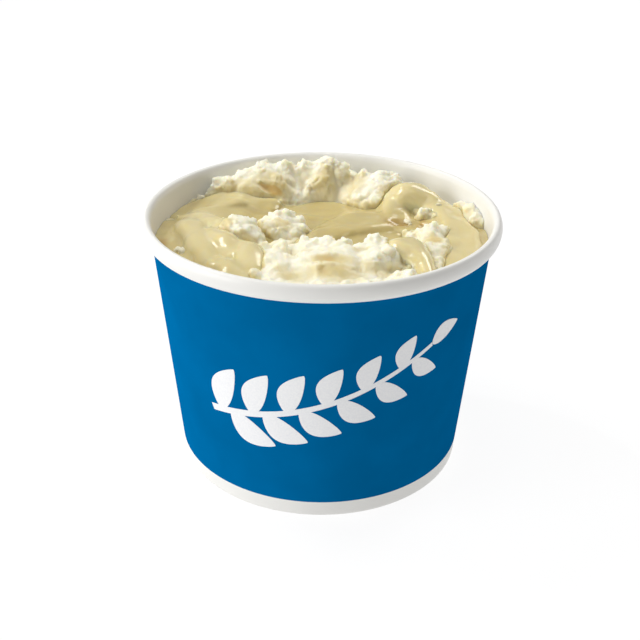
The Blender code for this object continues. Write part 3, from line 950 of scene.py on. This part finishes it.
def potatoFinish(name, scatter):
    # cream, yellower in clouds, straw where gravy has soaked in and as painted shade in hollows and
    # creases, and amber and wet where it has most
    f = Finish(name)
    cream, yellower, straw, amber = (linear(*potato[key])
                                     for key in ("cream", "yellower", "straw", "amber"))
    # the field holds real gravy stain and painted shade in hollows and creases
    soakAndShade = f.field("soakAndShade")
    fine = f.noise(900, 4, 0.6)
    cloud = f.noise(160, 4, 0.55)
    pale = f.mix(f.range(cloud, 0.4, 0.68, 0, 0.4), cream, yellower)
    stained = f.mix(f.range(soakAndShade, 0.0, 0.62, 0, 1), pale, straw)
    colour = f.mix(f.range(soakAndShade, 0.62, 1.0, 0, 0.9), stained, amber)
    f.set(Base_Color=colour, Subsurface_Weight=scatter, Subsurface_Radius=(1.0, 0.85, 0.5),
          Subsurface_Scale=0.0018,
          Roughness=f.range(soakAndShade, 0.15, 0.6, 0.55, 0.30), IOR=1.36,
          Normal=f.bump(fine, 0.00014, 0.4))
    f.shader.subsurface_method = "RANDOM_WALK"
    return f.material


def slidToEdge(xy):
    # points outside the streams moved to where inside is 0, by three of Newton's steps: the slope
    # times the shortfall over the slope squared
    step = 0.02
    for _ in range(3):
        inside = gravySurface(xy)[0]
        slopeX = (gravySurface(xy + [step, 0])[0] - inside) / step
        slopeY = (gravySurface(xy + [0, step])[0] - inside) / step
        steep = np.maximum(slopeX**2 + slopeY**2, 0.2)
        move = np.where(inside < 0, -inside / steep, 0)
        xy = xy + np.stack([slopeX * move, slopeY * move], 1)
    return xy


def makeGravy():
    # the streams' surface and a second one under it, nearer towards the edge, where both meet
    print("pouring gravy")
    xy, triangles = discGrid(gravy["radius"], gravy["spacing"])
    triangles = triangles[(gravySurface(xy)[0][triangles] > 0).any(1)]
    xy = slidToEdge(xy)
    used, triangles = np.unique(triangles, return_inverse=True)
    xy, triangles = xy[used], triangles.reshape(-1, 3)
    xy, triangles = refine(xy, triangles, lambda p: gravySurface(p)[1], gravy["longestEdge"], 2)
    inside, top = gravySurface(xy)
    rim = np.zeros(len(xy), bool)
    rim[openEdges(triangles).ravel()] = True
    top = evened(top, triangles, 6, rim)
    # how far towards the full colour: a little for the gravy's thickness over the potato, most as painted
    # shade where its top lies low, so the high ridges stay light
    deep = np.clip(top - potatoHeight(xy), 0, 3) * 0.4 + 2.2 * (1 - smoothStep(58.8, 63.2, top))
    upper = keptInside(np.column_stack([xy, top]), gravy["wallGap"])
    keep = ~rim
    thin, thick = gravy["thickness"]
    lower = upper[keep]
    lower[:, 2] -= thin + (thick - thin) * smoothStep(-0.2, 3.0, inside[keep])
    lowIndex = np.arange(len(xy))
    lowIndex[keep] = len(xy) + np.arange(keep.sum())
    # painted shade: brown in the hollows
    shadedPocket = shadedPocketSpots(upper[:, :2])
    makePiece("gravy", np.concatenate([upper, lower]),
              np.concatenate([triangles, lowIndex[triangles[:, ::-1]]]),
              [gravyFinish()], "gravy",
              attributes={"deep": np.concatenate([deep, deep[keep]]),
                          "shadedPocket": np.concatenate([shadedPocket, shadedPocket[keep]])})


# Hollows where the gravy stands deep, browned there as painted shade: x, y, half length, half width
shadedPockets = [(19.8, 8.4, 4.2, 2.4), (26.4, 6.4, 2.0, 3.4), (7.0, -5.4, 4.0, 1.6),
           (-30.5, -26.5, 3.0, 4.0), (-39.6, -8.0, 1.6, 5.0)]


def shadedPocketSpots(xy):
    # 1 in the middle of a pocket of painted shade, fading to nothing half its size beyond it
    return np.max([1 - smoothStep(0.1, 1.5, awayFrom(xy, *ellipse)) for ellipse in shadedPockets], axis=0)


def gravyFinish():
    # pale where it is thin, browner where it is thick, and as painted shade where it lies low and in the
    # pockets, and wet
    f = Finish("gravy")
    thin, full, brown, cloudy = (linear(*gravy[key]) for key in ("thin", "full", "brown", "cloud"))
    cloud = f.noise(120, 4, 0.55)
    # painted shade: the full colour low down, the thin colour on the high ridges, besides the thickness
    colour = f.mix(f.range(f.field("deep"), 0.4, 2.8, 0, 1), thin, full)
    # painted shade: brown in the pockets
    colour = f.mix(f.range(f.field("shadedPocket"), 0.0, 1.0, 0, 0.65), colour, brown)
    colour = f.mix(f.range(cloud, 0.35, 0.7, 0, 0.18), colour, cloudy)
    f.set(Base_Color=colour, Subsurface_Weight=0.7, Subsurface_Radius=(1.0, 0.8, 0.4),
          Subsurface_Scale=0.0016, Roughness=0.2, IOR=1.36,
          Coat_Weight=0.3, Coat_Roughness=0.03)
    f.shader.subsurface_method = "RANDOM_WALK"
    return f.material


studio = {
    "lens": 56.2,
    "film": 36,                # millimetres wide
    "target": (-0.245, 0.0, 35.24),
    "distance": 265.6,
    "elevation": 28.0,
    "roll": 0.57,
    "floorSide": 3.0,          # metres from the middle to its edge
    "floorGlow": 0.89,
    "worldLight": 0.25,
    "aim": (0, 0, 0.055),      # what every light faces, in metres
    "lights": {                # place, size, watts, colour
        "over": ((-0.10, -0.20, 1.05), 0.80, 2.4, (1.0, 0.995, 0.98)),
        "back": ((0.45, 0.62, 0.78), 0.45, 3.5, (1.0, 0.99, 0.96)),
        "key": ((-0.50, 0.22, 0.72), 0.26, 1.9, (1.0, 0.985, 0.95)),
        "left": ((-1.15, -0.35, 0.40), 0.80, 9.4, (1.0, 1.0, 1.0)),
        "spark": ((-0.30, 0.24, 0.55), 0.022, 0.55, (1.0, 1.0, 1.0)),
    },
}


def makeCamera():
    # in front of the target, raised by the elevation and turned a little about its own line of sight
    e, roll = math.radians(studio["elevation"]), math.radians(studio["roll"])
    back = Vector((0, -math.cos(e), math.sin(e)))
    right, up = Vector((1, 0, 0)), Vector((0, math.sin(e), math.cos(e)))
    c, s = math.cos(roll), math.sin(roll)
    x, y = c * right + s * up, c * up - s * right
    place = (Vector(studio["target"]) + back * studio["distance"]) * mm
    data = bpy.data.cameras.new("camera")
    data.lens, data.sensor_width, data.clip_start = studio["lens"], studio["film"], 0.005
    camera = bpy.data.objects.new("camera", data)
    camera.matrix_world = Matrix((*zip(x, y, back, place), (0, 0, 0, 1)))
    bpy.context.scene.collection.objects.link(camera)
    bpy.context.scene.camera = camera


def addLight(name, place, size, watts, colour):
    # a round light, turned to face the aim
    data = bpy.data.lights.new(name, "AREA")
    data.shape, data.size, data.energy, data.color = "DISK", size, watts, colour
    light = bpy.data.objects.new(name, data)
    light.location = place
    towards = Vector(studio["aim"]) - Vector(place)
    light.rotation_euler = towards.to_track_quat("-Z", "Y").to_euler()
    bpy.context.scene.collection.objects.link(light)


def floorFinish():
    # grey that glows, so that it is white and still takes a faint shadow
    f = Finish("floor")
    grain = f.noise(40, 3)
    light, dark = (0.15, 0.15, 0.15, 1), (0.14, 0.14, 0.14, 1)
    f.set(Base_Color=f.mix(f.range(grain, 0.3, 0.7, 0, 1), light, dark),
          Roughness=0.9, Specular_IOR_Level=0.0,
          Emission_Color=(1, 1, 1, 1), Emission_Strength=studio["floorGlow"])
    return f.material


def makeStudio():
    print("setting up the studio")
    world = bpy.data.worlds.new("studio")
    world.use_nodes = True
    background = world.node_tree.nodes["Background"]
    background.inputs["Color"].default_value = (1, 1, 1, 1)
    background.inputs["Strength"].default_value = studio["worldLight"]
    bpy.context.scene.world = world
    side, low = studio["floorSide"], -0.0001
    mesh = bpy.data.meshes.new("floor")
    mesh.from_pydata([(-side, -side, low), (side, -side, low), (side, side, low), (-side, side, low)],
                     [], [(0, 1, 2, 3)])
    mesh.materials.append(floorFinish())
    floor = bpy.data.objects.new("floor", mesh)
    bpy.context.scene.collection.objects.link(floor)
    for name, values in studio["lights"].items():
        addLight(name, *values)
    bpy.context.scene.view_settings.view_transform = "Standard"


makeCamera()
makeStudio()
makeCupWall()
makeSprig()
makeCupFloor()
makePotato()
makeCrumbs()
makeGravy()
